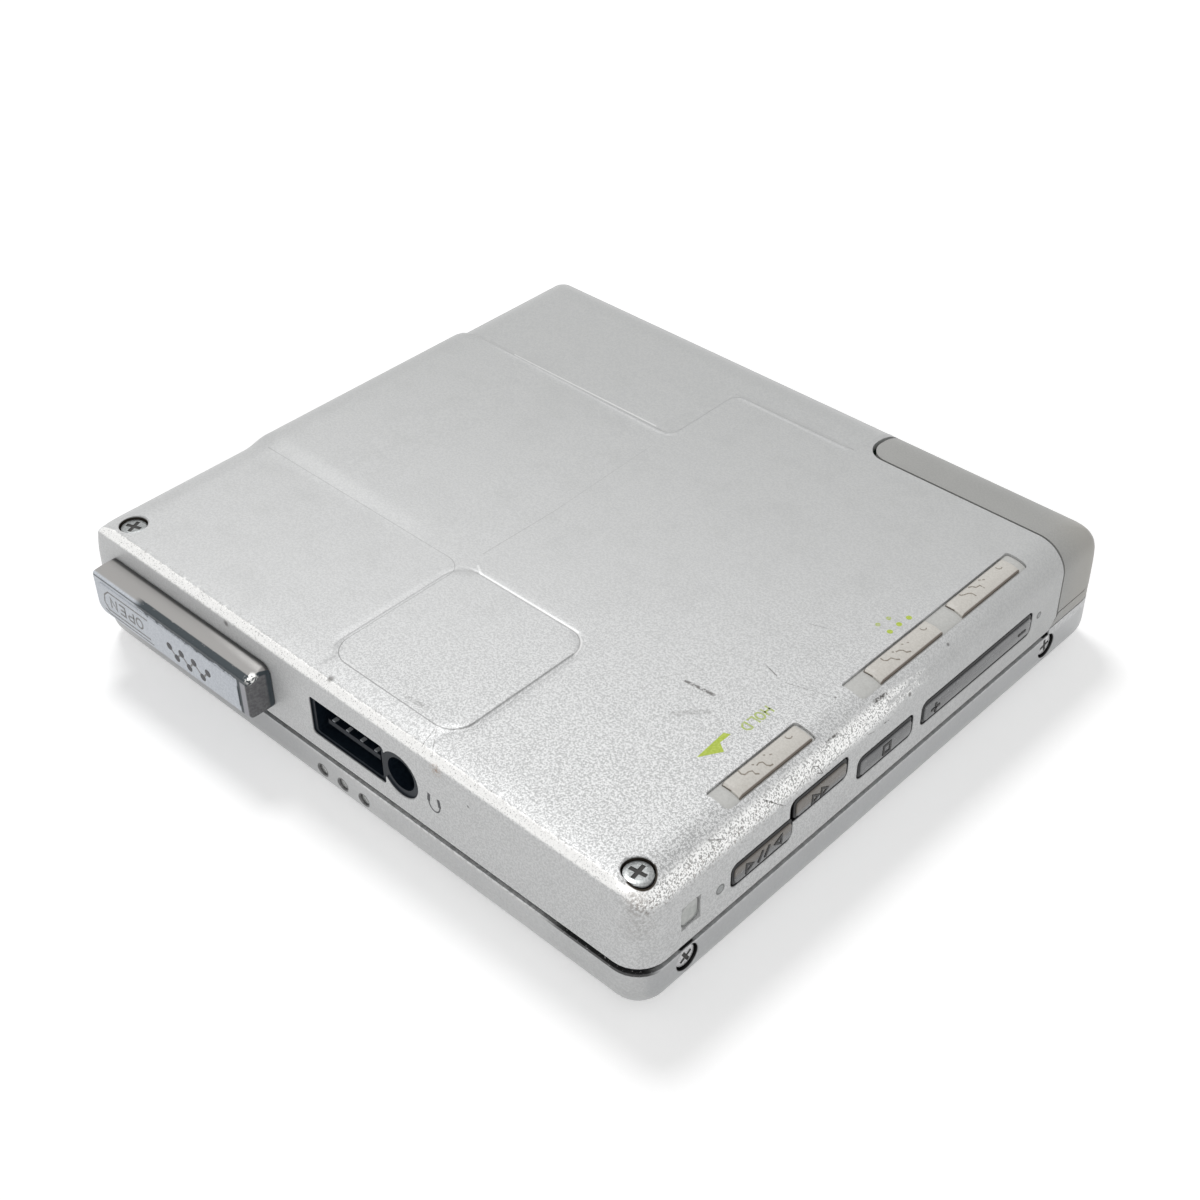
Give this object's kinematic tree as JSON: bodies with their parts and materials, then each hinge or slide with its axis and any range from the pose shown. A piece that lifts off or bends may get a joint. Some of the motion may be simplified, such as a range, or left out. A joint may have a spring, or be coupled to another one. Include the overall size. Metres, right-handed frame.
{
  "type": "portable minidisc player",
  "caption": "Closed pocket minidisc player resting on its lid with the silver underside cover up: slider, side keys, three slide knobs, headphone socket and battery door.",
  "frame": {"origin": "middle of the lid's outer face, which the player rests on as pictured", "axes": "+X along the hinge towards the control side, +Y towards the hinge, +Z out of the underside cover"},
  "size_m": [0.079, 0.0747, 0.0165],
  "materials": {
    "cover_paint": "satin silver paint over metal, worn at the edges",
    "lid_paint": "satin silver paint",
    "slider_paint": "satin blue-grey silver",
    "door_plastic": "fine matt grey",
    "knob_plastic": "warm ivory grey",
    "key_plastic": "smoky grey gloss",
    "socket_plastic": "black moulding",
    "black_plastic": "black moulding",
    "lens_plastic": "smoky translucent window",
    "screw_steel": "blackened steel",
    "sheet_steel": "bright sheet metal",
    "rod_steel": "ground steel rod",
    "gold_contact": "gold-plated contact",
    "bearing_brass": "plain brass",
    "board_green": "green solder mask",
    "battery_wrap": "plain shrink wrap",
    "damper_rubber": "soft black rubber",
    "gear_plastic": "natural acetal",
    "pickup_alloy": "die-cast alloy",
    "lens_glass": "coated lens"
  },
  "bodies": {
    "lid": {"lid_shell": "lid_paint", "lid_frame": "black_plastic", "lid_screws": "screw_steel", "lid_catch": "sheet_steel", "charging_contacts": "gold_contact", "hinge_pins": "rod_steel"},
    "holder": {"disc_holder": "sheet_steel", "disc_springs": "sheet_steel"},
    "player": {"bottom_cover": "cover_paint", "cover_screws": "screw_steel", "main_frame": "black_plastic", "circuit_board": "board_green", "chips": "black_plastic", "headphone_socket": "socket_plastic", "remote_contacts": "gold_contact", "indicator_lens": "lens_plastic", "key_bracket": "sheet_steel", "key_board": "board_green", "key_switches": "sheet_steel", "switch_board": "board_green", "slide_switches": "sheet_steel", "battery": "battery_wrap", "battery_tray": "black_plastic", "battery_spring": "sheet_steel", "door_pin": "rod_steel", "mech_chassis": "sheet_steel", "dampers": "damper_rubber", "spindle_motor": "sheet_steel", "guide_rods": "rod_steel", "screw_bearings": "bearing_brass", "sled_motor": "sheet_steel", "locating_pins": "rod_steel", "hinge_cover": "door_plastic"},
    "door": {"battery_door": "door_plastic", "door_contact": "sheet_steel"},
    "slider": {"open_slider": "slider_paint", "slider_plate": "sheet_steel", "latch_hook": "sheet_steel"},
    "hold": {"hold_knob": "knob_plastic"},
    "preset": {"preset_knob": "knob_plastic"},
    "limit": {"limit_knob": "knob_plastic"},
    "play": {"play_key": "key_plastic"},
    "forward": {"forward_key": "key_plastic"},
    "stop": {"stop_key": "key_plastic"},
    "volume": {"volume_key": "key_plastic"},
    "spindle": {"turntable": "black_plastic", "spindle_shaft": "rod_steel"},
    "screw": {"lead_screw": "rod_steel", "screw_gear": "gear_plastic"},
    "pinion": {"motor_pinion": "bearing_brass"},
    "pickup": {"pickup_body": "pickup_alloy"},
    "lens": {"lens_holder": "black_plastic", "objective_lens": "lens_glass"}
  },
  "joints": [
    {"name": "lid_hinge", "type": "hinge", "parent": "lid", "child": "player", "pos_m": [0, 0.0349, 0.0055], "axis": [-1, 0, 0], "range_deg": [0, 42]},
    {"name": "holder_lift", "type": "hinge", "parent": "lid", "child": "holder", "pos_m": [0, 0.0349, 0.0055], "axis": [-1, 0, 0], "range_deg": [0, 9]},
    {"name": "open_slide", "type": "slide", "parent": "player", "child": "slider", "axis": [1, 0, 0], "range_m": [0, 0.003], "stiffness_N_per_m": 300},
    {"name": "battery_door_hinge", "type": "hinge", "parent": "player", "child": "door", "pos_m": [0.0159, 0.0349, 0.009], "axis": [0, 0, 1], "range_deg": [0, 75]},
    {"name": "hold_slide", "type": "slide", "parent": "player", "child": "hold", "axis": [0, -1, 0], "range_m": [0, 0.0017]},
    {"name": "preset_slide", "type": "slide", "parent": "player", "child": "preset", "axis": [0, -1, 0], "range_m": [0, 0.0028]},
    {"name": "limit_slide", "type": "slide", "parent": "player", "child": "limit", "axis": [0, -1, 0], "range_m": [0, 0.0016]},
    {"name": "play_press", "type": "slide", "parent": "player", "child": "play", "axis": [-1, 0, 0], "range_m": [0, 0.00035], "stiffness_N_per_m": 300},
    {"name": "forward_press", "type": "slide", "parent": "player", "child": "forward", "axis": [-1, 0, 0], "range_m": [0, 0.00035], "stiffness_N_per_m": 300},
    {"name": "stop_press", "type": "slide", "parent": "player", "child": "stop", "axis": [-1, 0, 0], "range_m": [0, 0.00035], "stiffness_N_per_m": 300},
    {"name": "volume_rock", "type": "hinge", "parent": "player", "child": "volume", "pos_m": [0.0379, 0.013, 0.0096], "axis": [0, 0, 1], "range_deg": [-1.5, 1.5], "stiffness_Nm_per_rad": 0.02},
    {"name": "disc_spin", "type": "hinge", "parent": "player", "child": "spindle", "pos_m": [0, 0, 0.007], "axis": [0, 0, 1], "continuous": true},
    {"name": "pickup_travel", "type": "slide", "parent": "player", "child": "pickup", "axis": [-1, 0, 0], "range_m": [0, 0.015]},
    {"name": "screw_spin", "type": "hinge", "parent": "player", "child": "screw", "pos_m": [-0.02, -0.0164, 0.0109], "axis": [1, 0, 0], "range_deg": [0, 1810]},
    {"name": "pinion_spin", "type": "hinge", "parent": "player", "child": "pinion", "pos_m": [-0.006, -0.01891, 0.0109], "axis": [1, 0, 0], "range_deg": [-4530, 0]},
    {"name": "lens_focus", "type": "slide", "parent": "pickup", "child": "lens", "axis": [0, 0, 1], "range_m": [-0.0003, 0.0003], "stiffness_N_per_m": 40}
  ],
  "couplings": [
    {"joint": "holder_lift", "follows": "lid_hinge", "ratio": 0.2},
    {"joint": "screw_spin", "follows": "pickup_travel", "rad_per_m": 2094.4},
    {"joint": "pinion_spin", "follows": "pickup_travel", "rad_per_m": -5236}
  ]
}
